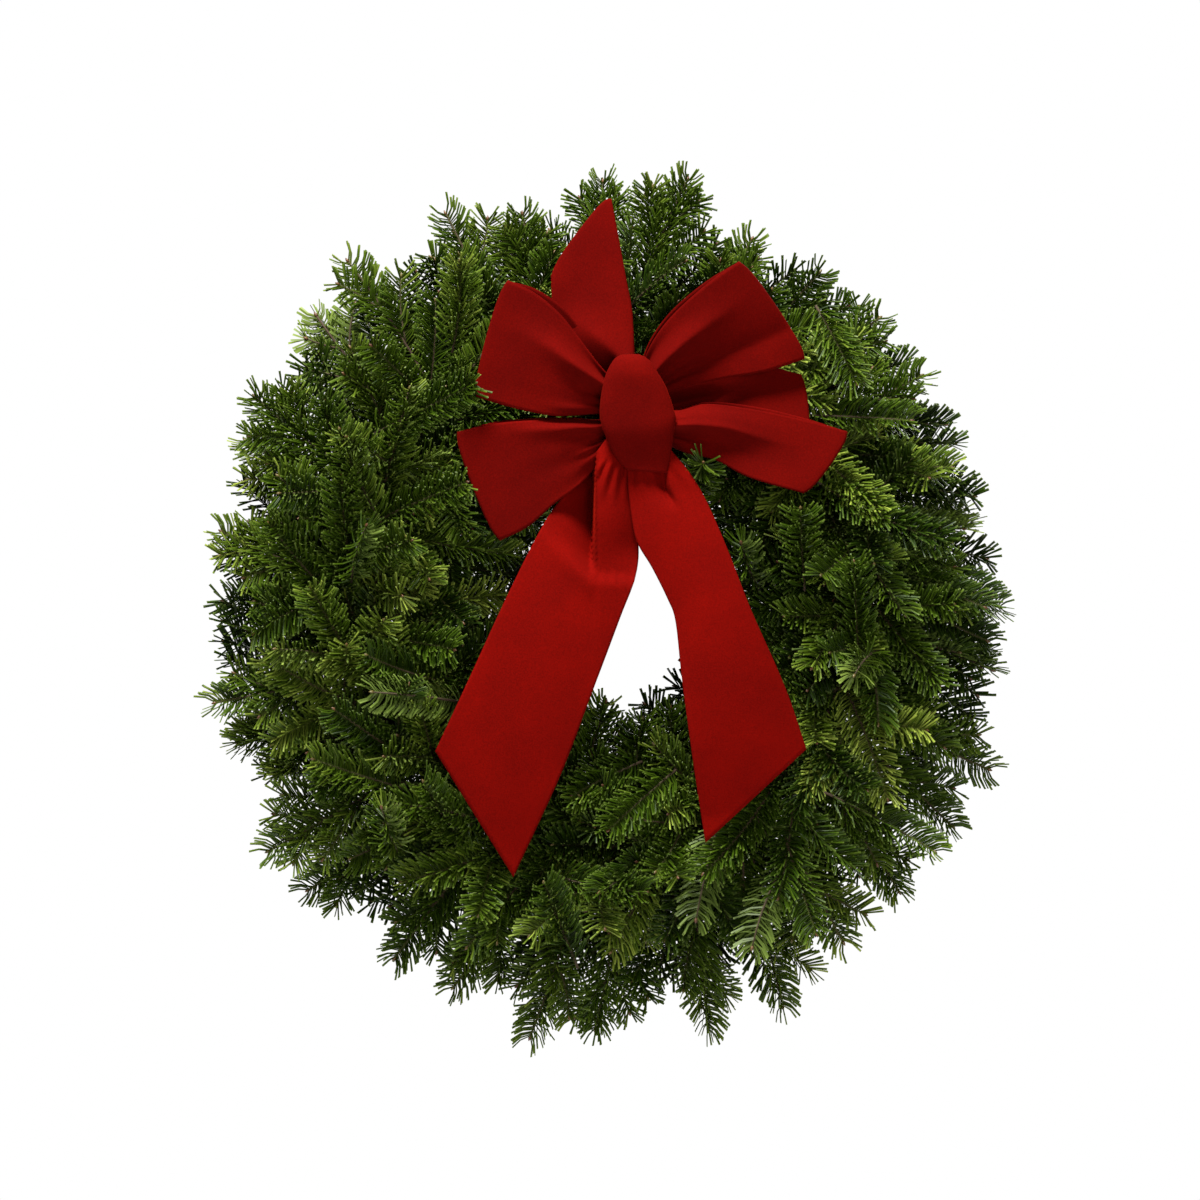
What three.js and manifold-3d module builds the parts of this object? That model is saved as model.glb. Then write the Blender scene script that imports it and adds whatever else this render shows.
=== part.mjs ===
// Fresh evergreen wreath: bundles of fir tips clamped side by side on a welded steel
// ring, with a six-loop velvet bow tied over the upper half. Millimetres, +Z up,
// front facing -Y. The origin is where a hook carries the ring, under its top.

import * as THREE from "three";
import { mergeVertices } from "three/addons/utils/BufferGeometryUtils.js";
import Module from "manifold-3d";

const wasm = await Module();
wasm.setup();

// Driving dimensions. "Depth" is measured forward of the ring's own plane.
const RING_RADIUS = 178; // a 14-inch wreath ring, to the middle of its wire
const WIRE_RADIUS = 2.2;
const RING_STEPS = 48;
const WIRE_SIDES = 6;
const SAME_POINT = 1e-3; // corners closer than this are one
const BUNDLES = 16; // one clamp and one bundle of fir tips each
const CLAMP_ROOM = 0.8; // between the stems and the clamp round them
const CLAMP_THICK = 1.8;
const CLAMP_WIDE = 6;
const CLAMP_GAP = 0.6; // half the angle left open between its two bent prongs, radians
const CLAMP_SEGMENTS = 5; // to each of its arcs
const STEM_RADIUS = 5.6; // the butts of the tips, held together
const STEM_GAP = 0.5; // between the stems and the ring's wire
const STEM_DEPTH = WIRE_RADIUS + STEM_GAP + STEM_RADIUS;
const STEM_SIDES = 6;
const STEM_STEPS = 8;
const SPRIG_SIDES = 5;
const SPRIG_FAT = 6.5; // radius of a sprig's solid, well inside its needles
const SPRIG_WOBBLE = 5; // how far a sprig's tip strays from the regular pattern

// A sprig's outline from stem to tip, as shares of its fat radius and of its length.
const SPRIG_PROFILE = [[0, 0], [0.45, 0.02], [1, 0.5], [0.85, 0.86], [0, 1]];

// How far out the rim of the foliage reaches at each bundle, from the top round
// anticlockwise: no two bundles are cut to the same length.
const REACH = [
  306, 303, 300, 297, 290, 297, 301, 304, 307, 321, 308, 305, 290, 281, 291, 300,
];

// The run of a bundle's stems: distance along the ring past its clamp, and depth.
// Each bundle lies over the butts of the next, as shingles do.
const STEM_RUN = [
  [-16, STEM_DEPTH],
  [0, STEM_DEPTH],
  [20, STEM_DEPTH + 1.5],
  [58, 26],
  [98, 44],
  [126, 56],
];

// The sprigs of a bundle: where each leaves the stems, and where its tip stands, as
// distance along the ring, radius and depth. A radius of 0 is the bundle's own reach.
const SPRIGS = [
  { from: 14, along: 6, radius: 252, depth: -20 },
  { from: 22, along: 36, radius: 0, depth: 4 },
  { from: 48, along: 62, radius: 0, depth: 32 },
  { from: 74, along: 100, radius: 284, depth: 58 },
  { from: 96, along: 128, radius: 250, depth: 84 },
  { from: 120, along: 158, radius: 208, depth: 100 },
  { from: 108, along: 140, radius: 152, depth: 96 },
  { from: 86, along: 112, radius: 112, depth: 72 },
  { from: 60, along: 86, radius: 92, depth: 46 },
  { from: 30, along: 48, radius: 90, depth: 16 },
];

// The hole isn't round: on its left the inner sprigs come in further.
const CLOSE_SIDE = THREE.MathUtils.degToRad(160); // middle of that side
const CLOSE_REACH = 24; // how much further they come in there
const CLOSE_SPAN = [0.55, 0.85]; // cosines of the angles from it where that starts and is full
const INNER_RADIUS = 150; // only sprigs that end inside this radius do
const INNER_FULL = 120; // and wholly so inside this one

// The bow: a wide velvet ribbon, tied low on the front of the wreath's upper half.
const RIBBON = 86; // the ribbon's width
const BOW = { x: 21, z: 136 }; // middle of the bow, from the middle of the ring
const NECK_WIDE = 20; // the ribbon gathered small under the knot
const CLOTH_SIDES = 12; // of a loop's and the knot's round solids
const PRESSED = 60; // foliage under the bow is pressed back to this depth
const PRESSED_MARGIN = 52; // and that far to each side of a loop's middle line

// Each strip of ribbon makes two loops: direction (degrees), length and end depth.
const LOOP_PAIRS = [
  {
    name: "bow_loops_front",
    depth: 107,
    loops: [
      { angle: 153, length: 119, end: 106, wide: 1 },
      { angle: -13, length: 139, end: 104, wide: 0.72 },
    ],
  },
  {
    name: "bow_loops_middle",
    depth: 95.4,
    loops: [
      { angle: 204, length: 123, end: 90, wide: 1 },
      { angle: 37, length: 125, end: 102, wide: 1 },
    ],
  },
  {
    name: "bow_loops_back",
    depth: 86,
    loops: [
      { angle: 107, length: 137, end: 86, wide: 0.8 },
      { angle: 9, length: 120, end: 78, wide: 0.75 },
    ],
  },
];
const LOOP_PUFF = 12; // half the depth of a loop where it stands open

// A loop's outline from knot to fold, as shares of half its width and of its length.
const LOOP_PROFILE = [[0.62, 0.3], [0.9, 0.65], [1, 0.94], [0.9, 1], [0, 1]];
const TAIL_THICK = 3;
const TAIL_STEP = 4; // the right tail lies this far in front of the left one
const TAIL_DEPTH = 119;
const TAIL_LEAN = 4; // degrees: the tails lie back on the foliage below
const TAIL_NECK = 34; // width of the tails where they are gathered together
const TAIL_ENDS = [[-94, -150], [107, -138]]; // the tails' middle lines run to these
const KNOT = { length: 86, width: 53, thick: 18, depth: 137, lean: 6 };
const KNOT_PROFILE = [[0, 0], [0.5, 0], [0.95, 0.3], [1, 0.5], [0.85, 0.72], [0.38, 1], [0, 1]];
const TIE_RADIUS = 0.9; // soft steel wire
const TIE_ROOM = 0.5; // between the wire and the gathers it lies in
const TIE_STEPS = 44;

// The tie wire, as x, depth and height: from one bare end behind the ring, over the ring
// and the stems, round the gathers and back under the ring to the other end.
const TIE_RUN = [
  [19.4, -7, 154],
  [19.4, -8, 172],
  [20, -8, 183],
  [21, 4, 189],
  [21, 34, 187],
  [21, 70, 166],
  [21, 100, 151],
  [21, 122, 148],
  [21, 126, 144],
  [21, 126, 128],
  [21, 122, 124],
  [21, 100, 127],
  [21, 70, 146],
  [21, 34, 162],
  [21, 4, 165],
  [22, -8, 168],
  [22.6, -8, 160],
  [22.6, -7, 150],
];

// Tails: outlines from the gathered top to the slanting cut, from the ring's middle.
const LEFT_TAIL = [
  [17, 138], [1, 138], [-8, 110], [-38, 66], [-93, -39], [-123, -108],
  [-65, -193], [-9, -60], [20, 39], [17, 110],
];
const RIGHT_TAIL = [
  [41, 138], [25, 138], [24, 110], [20, 73], [24, 40], [50, -13], [54, -60],
  [72, -171], [143, -106], [127, -55], [95, 14], [72, 73], [50, 110],
];

const PAINTED_STEEL = { color: 0x1f3d24, roughness: 0.45, metalness: 0.6 };
const FIR = { color: 0x3c5f1e, roughness: 0.6, metalness: 0 };
const BRIGHT_WIRE = { color: 0x8d8f8c, roughness: 0.35, metalness: 1 };
const VELVET = { color: 0x990b08, roughness: 0.95, metalness: 0 };

// A fixed value from -1 to 1 for each pair of whole numbers.
function wobble(i, k) {
  const n = Math.sin(i * 12.9898 + k * 78.233) * 43758.5453;
  return 2 * (n - Math.floor(n)) - 1;
}

// A point of the wreath from its angle, radius and depth.
function at(angle, radius, depth) {
  return new THREE.Vector3(radius * Math.cos(angle), -depth, radius * Math.sin(angle));
}

function clampAngle(i) {
  return Math.PI / 2 + ((i + 0.5) * 2 * Math.PI) / BUNDLES;
}

// The angle a distance along the ring past clamp i: bundles are laid clockwise.
function alongRing(i, distance) {
  return clampAngle(i) - distance / RING_RADIUS;
}

function solid(geometry, matrix) {
  const bare = geometry.index ? geometry.toNonIndexed() : geometry.clone();
  bare.deleteAttribute("normal");
  bare.deleteAttribute("uv");
  if (matrix) bare.applyMatrix4(matrix);
  const merged = mergeVertices(bare, SAME_POINT);
  return new wasm.Manifold(
    new wasm.Mesh({
      numProp: 3,
      vertProperties: new Float32Array(merged.attributes.position.array),
      triVerts: new Uint32Array(merged.index.array),
    }),
  );
}

function geometryOf(body) {
  const mesh = body.getMesh();
  const geometry = new THREE.BufferGeometry();
  geometry.setAttribute("position", new THREE.BufferAttribute(mesh.vertProperties, 3));
  geometry.setIndex(new THREE.BufferAttribute(mesh.triVerts, 1));
  geometry.computeVertexNormals();
  return geometry;
}

function joined(bodies) {
  return bodies.reduce((whole, body) => whole.add(body));
}

function named(name, body, finish) {
  const mesh = new THREE.Mesh(geometryOf(body), new THREE.MeshStandardMaterial(finish));
  mesh.name = name;
  return mesh;
}

function circle(radius, sides) {
  const points = Array.from({ length: sides }, (_, k) => {
    const a = (2 * Math.PI * k) / sides;
    return new THREE.Vector2(radius * Math.cos(a), radius * Math.sin(a));
  });
  return new THREE.Shape(points);
}

// A round rod along a smooth curve through points.
function rod(points, radius, sides, steps) {
  const extrudePath = new THREE.CatmullRomCurve3(points);
  const made = new THREE.ExtrudeGeometry(circle(radius, sides), { steps, extrudePath });
  return solid(made);
}

// One clamp: a strap bent round the stems, its prongs nearly meeting in front.
function clamp(i) {
  const inner = STEM_RADIUS + CLAMP_ROOM;
  const outer = inner + CLAMP_THICK;
  const open = -Math.PI / 2;
  const shape = new THREE.Shape();
  shape.absarc(0, 0, outer, open + CLAMP_GAP, open - CLAMP_GAP + 2 * Math.PI, false);
  shape.absarc(0, 0, inner, open - CLAMP_GAP, open + CLAMP_GAP - 2 * Math.PI, true);
  const strap = new THREE.ExtrudeGeometry(shape, {
    depth: CLAMP_WIDE,
    curveSegments: CLAMP_SEGMENTS,
    bevelEnabled: false,
  });
  strap.translate(0, 0, -CLAMP_WIDE / 2);
  const angle = clampAngle(i);
  const outward = at(angle, 1, 0);
  const back = new THREE.Vector3(0, 1, 0);
  const place = new THREE.Matrix4().makeBasis(outward, back, outward.clone().cross(back));
  return solid(strap, place.setPosition(at(angle, RING_RADIUS, STEM_DEPTH)));
}

function clampRing() {
  const wire = new THREE.TorusGeometry(RING_RADIUS, WIRE_RADIUS, WIRE_SIDES, RING_STEPS);
  const ring = solid(wire, new THREE.Matrix4().makeRotationX(Math.PI / 2));
  const clamps = Array.from({ length: BUNDLES }, (_, i) => clamp(i));
  return named("clamp_ring", joined([ring, ...clamps]), PAINTED_STEEL);
}

// The bow's middle lines, from the knot to each loop's fold and down each tail.
function bowLines() {
  const knot = new THREE.Vector2(BOW.x, BOW.z);
  const loops = LOOP_PAIRS.flatMap((pair) => pair.loops);
  const ends = loops.map(({ angle, length }) => {
    const a = THREE.MathUtils.degToRad(angle);
    return new THREE.Vector2(Math.cos(a), Math.sin(a)).multiplyScalar(length).add(knot);
  });
  const tailEnds = TAIL_ENDS.map(([x, z]) => new THREE.Vector2(x, z));
  return [...ends, ...tailEnds].map(
    (end) => new THREE.Line3(
      new THREE.Vector3(knot.x, knot.y, 0),
      new THREE.Vector3(end.x, end.y, 0),
    ),
  );
}
const BOW_LINES = bowLines();

// Pressed back to the foliage's depth under the bow, or as it grew.
function underBow(point) {
  const flat = new THREE.Vector3(point.x, point.z, 0);
  const near = new THREE.Vector3();
  const covered = BOW_LINES.some((line) => {
    line.closestPointToPoint(flat, true, near);
    return near.distanceTo(flat) < PRESSED_MARGIN;
  });
  if (covered) point.y = Math.max(point.y, -PRESSED);
  return point;
}

// The solid inside one sprig's needles: thin where it leaves the stems.
function sprig(base, tip) {
  const length = base.distanceTo(tip);
  const profile = SPRIG_PROFILE.map(([r, h]) => new THREE.Vector2(r * SPRIG_FAT, h * length));
  const turn = new THREE.Quaternion().setFromUnitVectors(
    new THREE.Vector3(0, 1, 0),
    tip.clone().sub(base).normalize(),
  );
  const one = new THREE.Vector3(1, 1, 1);
  return solid(
    new THREE.LatheGeometry(profile, SPRIG_SIDES),
    new THREE.Matrix4().compose(base, turn, one),
  );
}

// A tip's radius, drawn in where the hole's close side has it.
function innerReach(angle, radius) {
  const { smoothstep } = THREE.MathUtils;
  const side = smoothstep(Math.cos(angle - CLOSE_SIDE), ...CLOSE_SPAN);
  return radius - CLOSE_REACH * side * (1 - smoothstep(radius, INNER_FULL, INNER_RADIUS));
}

function bundle(i) {
  const run = STEM_RUN.map(([s, depth]) => at(alongRing(i, s), RING_RADIUS, depth));
  const curve = new THREE.CatmullRomCurve3(run);
  const [start, end] = [STEM_RUN[0][0], STEM_RUN.at(-1)[0]];
  const sprigs = SPRIGS.map(({ from, along, radius, depth }, k) => {
    const base = curve.getPointAt((from - start) / (end - start));
    const stray = [0, 1, 2].map((n) => SPRIG_WOBBLE * wobble(i, 3 * k + n));
    const angle = alongRing(i, along + stray[0]);
    const reach = innerReach(angle, radius || REACH[i]);
    const tip = at(angle, reach + stray[1], depth + stray[2]);
    return sprig(base, underBow(tip));
  });
  const stems = rod(run, STEM_RADIUS, STEM_SIDES, STEM_STEPS);
  const name = "fir_bundle_" + String(i + 1).padStart(2, "0");
  return named(name, pierced(joined([stems, ...sprigs])), FIR);
}

// One loop: flat and wide at its fold, gathered at the knot, puffed in between.
function loop({ angle, length, end, wide }, depth) {
  const half = (RIBBON / 2) * wide;
  const open = LOOP_PROFILE.map(([r, h]) => [r * half, h * length]);
  const profile = [[0, 0], [NECK_WIDE / 2, 0], ...open].map(([r, h]) => new THREE.Vector2(r, h));
  const a = THREE.MathUtils.degToRad(angle);
  const reach = new THREE.Vector3(Math.cos(a) * length, depth - end, Math.sin(a) * length);
  const along = reach.clone().normalize();
  const front = new THREE.Vector3(0, -1, 0);
  const across = along.clone().cross(front).normalize();
  const thin = across.clone().cross(along).multiplyScalar(LOOP_PUFF / half);
  const place = new THREE.Matrix4().makeBasis(across, along, thin);
  const knot = new THREE.Vector3(BOW.x, -depth, BOW.z);
  return solid(new THREE.LatheGeometry(profile, CLOTH_SIDES), place.setPosition(knot));
}

function tie(radius) {
  const run = TIE_RUN.map(([x, depth, z]) => new THREE.Vector3(x, -depth, z));
  return rod(run, radius, WIRE_SIDES, TIE_STEPS);
}

// What the wire passes through leaves room for it.
function pierced(body) {
  return body.subtract(tie(TIE_RADIUS + TIE_ROOM));
}

function loopPair({ name, depth, loops }) {
  return named(name, pierced(joined(loops.map((one) => loop(one, depth)))), VELVET);
}

function tail(outline, depth) {
  const shape = new THREE.Shape(outline.map(([x, z]) => new THREE.Vector2(x, z)));
  const strip = new THREE.ExtrudeGeometry(shape, { depth: TAIL_THICK, bevelEnabled: false });
  const upright = new THREE.Matrix4().makeRotationX(Math.PI / 2);
  return solid(strip, upright.setPosition(0, -depth + TAIL_THICK, 0));
}

// Both tails are one strip, gathered in the middle under the knot.
function tails() {
  const neck = new THREE.BoxGeometry(TAIL_NECK, TAIL_STEP + TAIL_THICK, NECK_WIDE / 2);
  const middle = -TAIL_DEPTH - TAIL_STEP / 2 + TAIL_THICK / 2;
  const place = new THREE.Matrix4().makeTranslation(BOW.x, middle, BOW.z);
  const right = tail(RIGHT_TAIL, TAIL_DEPTH + TAIL_STEP);
  const lean = new THREE.Matrix4()
    .makeTranslation(0, -TAIL_DEPTH, BOW.z)
    .multiply(new THREE.Matrix4().makeRotationX(THREE.MathUtils.degToRad(TAIL_LEAN)))
    .multiply(new THREE.Matrix4().makeTranslation(0, TAIL_DEPTH, -BOW.z));
  const strip = joined([tail(LEFT_TAIL, TAIL_DEPTH), right, solid(neck, place)]);
  const hung = solid(geometryOf(strip), lean);
  return named("bow_tails", pierced(hung), VELVET);
}

// The band over the middle of the bow, pinched at both ends.
function knot() {
  const profile = KNOT_PROFILE.map(
    ([r, h]) => new THREE.Vector2((r * KNOT.width) / 2, (h - 0.5) * KNOT.length),
  );
  const lathe = new THREE.LatheGeometry(profile, CLOTH_SIDES);
  const flat = new THREE.Matrix4().makeScale(1, 1, KNOT.thick / KNOT.width);
  const lean = THREE.MathUtils.degToRad(KNOT.lean);
  const place = new THREE.Matrix4()
    .makeTranslation(BOW.x, -KNOT.depth, BOW.z)
    .multiply(new THREE.Matrix4().makeRotationY(lean))
    .multiply(new THREE.Matrix4().makeRotationX(Math.PI / 2))
    .multiply(flat);
  return named("bow_knot", solid(lathe, place), VELVET);
}

const group = new THREE.Group();
const wreath = new THREE.Group();
wreath.position.z = WIRE_RADIUS - RING_RADIUS;
wreath.add(clampRing());
for (let i = 0; i < BUNDLES; i++) wreath.add(bundle(i));
LOOP_PAIRS.forEach((pair) => wreath.add(loopPair(pair)));
wreath.add(tails());
wreath.add(knot());
wreath.add(named("bow_tie_wire", tie(TIE_RADIUS), BRIGHT_WIRE));
group.add(wreath);

export default group;
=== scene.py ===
import math

import bpy
import numpy as np
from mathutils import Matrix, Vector

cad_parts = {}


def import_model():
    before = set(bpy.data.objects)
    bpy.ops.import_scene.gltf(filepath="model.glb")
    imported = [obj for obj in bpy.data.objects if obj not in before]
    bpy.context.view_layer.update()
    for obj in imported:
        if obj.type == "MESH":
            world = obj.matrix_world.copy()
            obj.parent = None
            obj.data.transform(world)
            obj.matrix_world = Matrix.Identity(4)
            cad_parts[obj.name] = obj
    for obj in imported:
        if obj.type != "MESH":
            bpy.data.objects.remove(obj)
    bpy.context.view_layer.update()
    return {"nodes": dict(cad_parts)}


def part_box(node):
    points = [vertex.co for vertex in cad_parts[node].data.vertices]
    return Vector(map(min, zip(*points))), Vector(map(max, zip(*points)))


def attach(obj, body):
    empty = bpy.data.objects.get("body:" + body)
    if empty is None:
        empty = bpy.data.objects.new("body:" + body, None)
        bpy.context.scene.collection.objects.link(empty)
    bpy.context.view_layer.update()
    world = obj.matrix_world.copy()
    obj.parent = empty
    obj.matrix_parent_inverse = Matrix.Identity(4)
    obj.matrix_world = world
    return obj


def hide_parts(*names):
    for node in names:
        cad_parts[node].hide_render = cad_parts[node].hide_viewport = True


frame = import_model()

# ---------------------------------------------------------------- the wreath's own frame
# Sizes are in millimetres from the middle of the ring, as x, z and depth in front of it.
MM = 0.001
ring_low, ring_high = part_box("clamp_ring")
CENTRE = Vector(((ring_low.x + ring_high.x) / 2, 0, (ring_low.z + ring_high.z) / 2))
RING_RADIUS = 178.0
WIRE_RADIUS = 2.2
BUNDLES = 16
FRONT = np.array([0.0, -1.0, 0.0])
UP = np.array([0.0, 0.0, 1.0])
LIGHT = FRONT + 0.45 * UP  # where the light came from that the fir grew in

rng = np.random.default_rng(24)


def world(points):
    """Points in millimetres from the middle of the ring, as metres in the row frame."""
    return np.asarray(points, float) * MM + np.array(CENTRE)


def unit(v):
    v = np.asarray(v, float)
    return v / np.maximum(np.linalg.norm(v, axis=-1, keepdims=True), 1e-9)


def across(v, axis):
    """The part of v square to axis, as a unit vector."""
    return unit(v - np.sum(v * axis, axis=-1, keepdims=True) * axis)


def ease(x):
    x = np.clip(x, 0, 1)
    return x * x * (3 - 2 * x)


def lerp(a, b, t):
    return a + (b - a) * t


# ---------------------------------------------------------------- materials
def linear(hex_colour):
    """An sRGB hex value as linear RGBA."""
    parts = [int(hex_colour[k : k + 2], 16) / 255 for k in (1, 3, 5)]
    return (*(c / 12.92 if c <= 0.04045 else ((c + 0.055) / 1.055) ** 2.4 for c in parts), 1.0)


def cells(size_mm):
    """Scale of a pattern whose repeats are size_mm apart, in a piece measured in metres."""
    return 1 / (size_mm * MM)


def put(tree, kind, inputs=(), stops=(), **settings):
    """Adds one node: its settings, its colour stops, and a value or a link for each input."""
    node = tree.nodes.new("ShaderNode" + kind)
    for name, value in settings.items():
        setattr(node, name, value)
    for k, (place, colour) in enumerate(stops):
        steps = node.color_ramp.elements
        step = steps[k] if k < 2 else steps.new(place)
        step.position = place
        step.color = linear(colour) if isinstance(colour, str) else (colour, colour, colour, 1.0)
    for socket, value in dict(inputs).items():
        if isinstance(value, bpy.types.NodeSocket):
            tree.links.new(value, node.inputs[socket])
        else:
            node.inputs[socket].default_value = value
    return node.outputs


def new_material(name):
    material = bpy.data.materials.new(name)
    material.use_nodes = True
    material.node_tree.nodes.clear()
    return material


TONES = 32  # shades of needle, each a strip of the needles' own map, once for each side


def fir_needle():
    """Live fir needle, grown: a waxy keeled upper side with a painted highlight in a line along
    its middle and painted shade at its edges, and a paler under side with two whitish bands.
    It has painted shade towards the twig, where the needles shade each other, and its base and
    its blunt tip are pale, the tip partly a painted highlight."""
    material = new_material("fir_needle")
    tree = material.node_tree
    place = put(tree, "SeparateXYZ", {"Vector": put(tree, "UVMap", uv_map="OFBake")["UV"]})
    under = put(tree, "Math", {0: place["X"], 1: 0.5}, operation="GREATER_THAN")[0]
    # The map has a strip for each tone, and the tones of the under side come after the upper's.
    strip = put(tree, "Math", {0: place["X"], 1: 2.0 * TONES}, operation="MULTIPLY")[0]
    half = put(tree, "Math", {0: strip, 1: float(TONES)}, operation="MODULO")[0]
    tone = put(tree, "Math", {0: half, 1: float(TONES)}, operation="DIVIDE")[0]
    side = put(tree, "Math", {0: strip}, operation="FRACT")[0]
    from_middle = put(tree, "Math", {0: side, 1: 0.5}, operation="SUBTRACT")[0]
    from_middle = put(tree, "Math", {0: from_middle}, operation="ABSOLUTE")[0]
    green = put(tree, "ValToRGB", {"Fac": tone}, [
        (0, "#152203"), (1, "#93a240"), (0.35, "#283d06"), (0.68, "#43590f"), (0.86, "#647624"),
    ])["Color"]
    # Painted highlight along the keel and painted shade at the needle's edges.
    keel = put(tree, "ValToRGB", {"Fac": from_middle}, [(0, 1.0), (0.5, 0.36), (0.2, 0.85)])["Color"]
    upper = put(tree, "Mix", {0: 1.0, 6: green, 7: keel}, data_type="RGBA", blend_type="MULTIPLY")[2]
    dull = put(tree, "Mix", {0: 0.4, 6: green, 7: linear("#4c5c20")}, data_type="RGBA")[2]
    bands = put(tree, "ValToRGB", {"Fac": from_middle}, [
        (0, 0.08), (0.42, 0.06), (0.1, 0.5), (0.32, 0.5),
    ])["Color"]
    lower = put(tree, "Mix", {0: bands, 6: dull, 7: linear("#6c7c3e")}, data_type="RGBA")[2]
    colour = put(tree, "Mix", {0: under, 6: upper, 7: lower}, data_type="RGBA")[2]
    # Painted shade towards the twig, where the needles shade each other, and painted light towards the
    # tip.
    shade = put(tree, "ValToRGB", {"Fac": place["Y"]}, [(0, 0.42), (1, 1.24), (0.55, 0.88)])["Color"]
    colour = put(tree, "Mix", {0: 1.0, 6: colour, 7: shade}, data_type="RGBA", blend_type="MULTIPLY")[2]
    # Pale base and blunt tip; the pale tip is partly a painted highlight.
    ends = put(tree, "ValToRGB", {"Fac": place["Y"]}, [(0, 0.2), (1, 0.25), (0.12, 0.0), (0.86, 0.0)])
    colour = put(tree, "Mix", {0: ends["Color"], 6: colour, 7: linear("#94a455")}, data_type="RGBA")[2]
    shader = put(tree, "BsdfPrincipled", {
        "Base Color": colour, "Roughness": 0.42, "IOR": 1.45, "Specular IOR Level": 0.13,
    })
    put(tree, "OutputMaterial", {"Surface": shader["BSDF"]})
    return material


def fir_bark():
    """Young fir twig, grown: smooth dull bark, brown where it is old, olive on the last year's
    growth, and pale wood where it was cut."""
    material = new_material("fir_bark")
    tree = material.node_tree
    place = put(tree, "UVMap", uv_map="OFBake")["UV"]
    age = put(tree, "SeparateXYZ", {"Vector": place})["X"]
    bark = put(tree, "ValToRGB", {"Fac": age}, [
        (0, "#b08f5e"), (1, "#44481f"), (0.04, "#2b1c10"), (0.3, "#392412"), (0.75, "#3f3418"),
    ])["Color"]
    scars = put(tree, "TexNoise", {"Vector": place, "Scale": 60.0, "Detail": 3.0})["Fac"]
    share = put(tree, "Math", {0: scars, 1: 0.45}, operation="MULTIPLY")[0]
    colour = put(tree, "Mix", {0: share, 6: bark, 7: linear("#2e1c10")}, data_type="RGBA")[2]
    shader = put(tree, "BsdfPrincipled", {"Base Color": colour, "Roughness": 0.8})
    put(tree, "OutputMaterial", {"Surface": shader["BSDF"]})
    return material


def fir_bud():
    """Winter bud, grown: blunt overlapping scales, tan to red-brown, with a little resin shine."""
    material = new_material("fir_bud")
    tree = material.node_tree
    place = put(tree, "SeparateXYZ", {"Vector": put(tree, "UVMap", uv_map="OFBake")["UV"]})
    tone = put(tree, "ValToRGB", {"Fac": place["X"]}, [
        (0, "#4e2a18"), (1, "#5e5a2a"), (0.5, "#664622"),
    ])
    base = put(tree, "ValToRGB", {"Fac": place["Y"]}, [(0, 0.6), (1, 0.3), (0.5, 0.0)])["Color"]
    colour = put(tree, "Mix", {0: base, 6: tone["Color"], 7: linear("#4a2a18")}, data_type="RGBA")[2]
    shader = put(tree, "BsdfPrincipled", {"Base Color": colour, "Roughness": 0.45})
    put(tree, "OutputMaterial", {"Surface": shader["BSDF"]})
    return material


def flocked_velvet(name, deep, light):
    """Outdoor velvet ribbon, nylon fibres flocked upright on a cloth: no shine, a dense deep red
    face on, and slightly lighter where it is seen across the pile, at edges and folds. A darker
    copy of it serves as painted shade and a lighter copy as painted light."""
    material = new_material(name)
    tree = material.node_tree
    place = put(tree, "TexCoord")["Object"]
    # The pile lies over in patches about 36 mm wide.
    nap = put(tree, "TexNoise", {"Vector": place, "Scale": cells(36), "Detail": 2.0})["Fac"]
    # Tufts are 0.6 mm apart, drawn at 1.1 mm so that they show.
    pile = put(tree, "TexNoise", {"Vector": place, "Scale": cells(1.1), "Detail": 3.0})["Fac"]
    red = put(tree, "ValToRGB", {"Fac": nap}, [(0.3, deep), (0.7, light)])["Color"]
    shade = put(tree, "ValToRGB", {"Fac": pile}, [(0.3, 0.78), (0.7, 1.12)])["Color"]
    colour = put(tree, "Mix", {0: 1.0, 6: red, 7: shade}, data_type="RGBA", blend_type="MULTIPLY")[2]
    bump = put(tree, "Bump", {"Height": pile, "Strength": 0.25, "Distance": 0.4 * MM})["Normal"]
    shader = put(tree, "BsdfPrincipled", {
        "Base Color": colour, "Roughness": 0.92, "IOR": 1.4, "Specular IOR Level": 0.05,
        "Sheen Weight": 0.14, "Sheen Roughness": 0.35, "Sheen Tint": linear("#ff2c08"), "Normal": bump,
    })
    put(tree, "OutputMaterial", {"Surface": shader["BSDF"]})
    return material


def green_enamel():
    """Mild steel dipped in green enamel: satin, a little uneven, chipped to brown in small spots."""
    material = new_material("green_enamel")
    tree = material.node_tree
    place = put(tree, "TexCoord")["Object"]
    # Runs and chips of the dip are about 6 mm apart.
    uneven = put(tree, "TexNoise", {"Vector": place, "Scale": cells(6), "Detail": 5.0})["Fac"]
    colour = put(tree, "ValToRGB", {"Fac": uneven}, [
        (0.35, "#1a3822"), (0.72, "#5a4a3a"), (0.66, "#24492d"),
    ])
    bump = put(tree, "Bump", {"Height": uneven, "Strength": 0.2, "Distance": 0.3 * MM})["Normal"]
    shader = put(tree, "BsdfPrincipled", {
        "Base Color": colour["Color"], "Roughness": 0.45, "Normal": bump,
    })
    put(tree, "OutputMaterial", {"Surface": shader["BSDF"]})
    return material


def drawn_wire():
    """Annealed steel tie wire, drawn: grey metal with fine lines, a broad soft shine."""
    material = new_material("drawn_wire")
    tree = material.node_tree
    place = put(tree, "TexCoord")["Object"]
    # Drawing lines are under 0.1 mm apart, drawn at 1.4 mm so that they show.
    lines = put(tree, "TexNoise", {"Vector": place, "Scale": cells(1.4), "Detail": 2.0})["Fac"]
    colour = put(tree, "ValToRGB", {"Fac": lines}, [(0.3, "#8b8d8c"), (0.7, "#b4b5b3")])["Color"]
    shader = put(tree, "BsdfPrincipled", {"Base Color": colour, "Metallic": 1.0, "Roughness": 0.35})
    put(tree, "OutputMaterial", {"Surface": shader["BSDF"]})
    return material


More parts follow.
